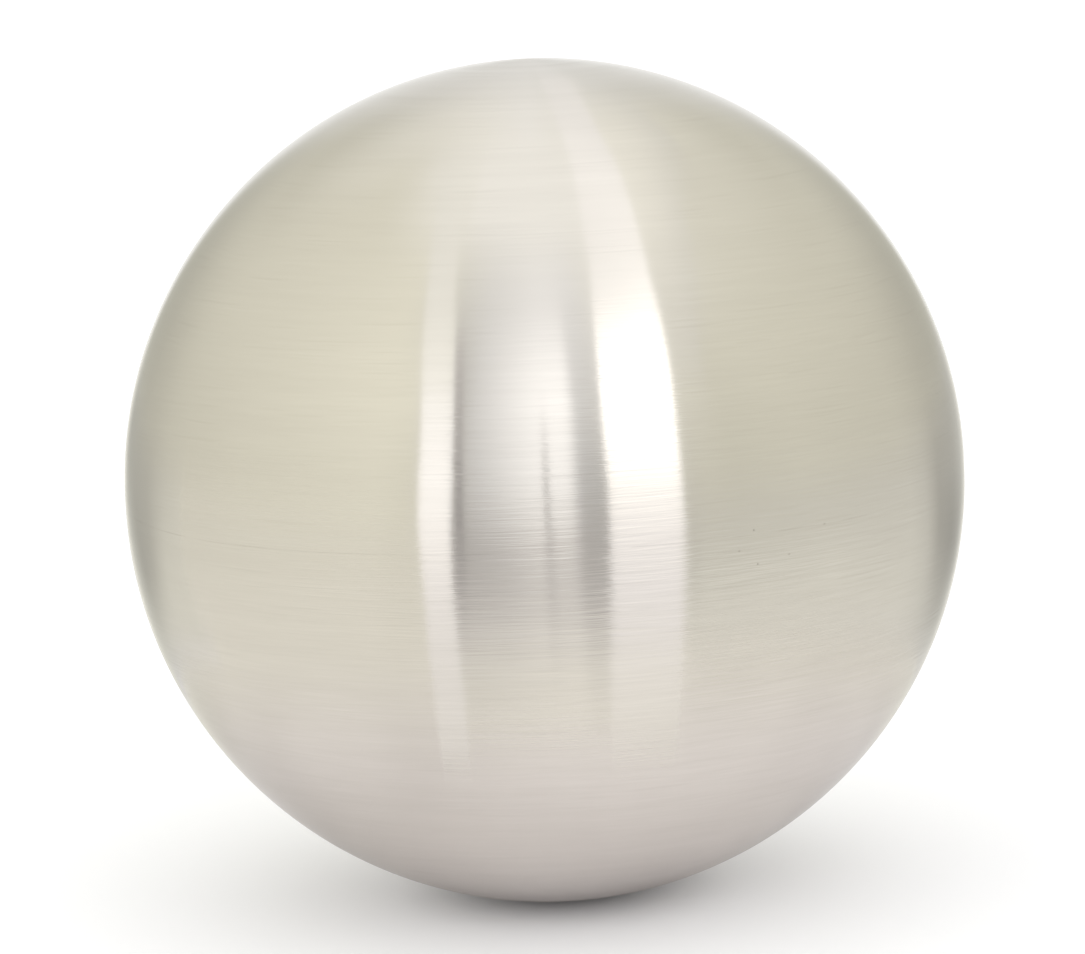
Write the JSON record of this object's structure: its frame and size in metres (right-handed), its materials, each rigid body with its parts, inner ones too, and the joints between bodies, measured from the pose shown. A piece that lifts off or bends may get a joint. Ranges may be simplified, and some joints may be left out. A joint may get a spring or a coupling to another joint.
{
  "type": "hollow brushed steel ball",
  "caption": "Hollow steel ball of two pressed halves, welded round the equator, ground flush and brushed round its poles.",
  "frame": {"origin": "centre of the ball, halfway between its two poles", "axes": "+Z through the poles, square to the weld and to every brush line; X and Y lie in the plane of the weld"},
  "size_m": [0.1, 0.1, 0.1006],
  "materials": {
    "brushed_shell": "satin, brushed in fine lines round the poles"
  },
  "bodies": {
    "root": {"ball": "brushed_shell"}
  },
  "joints": []
}
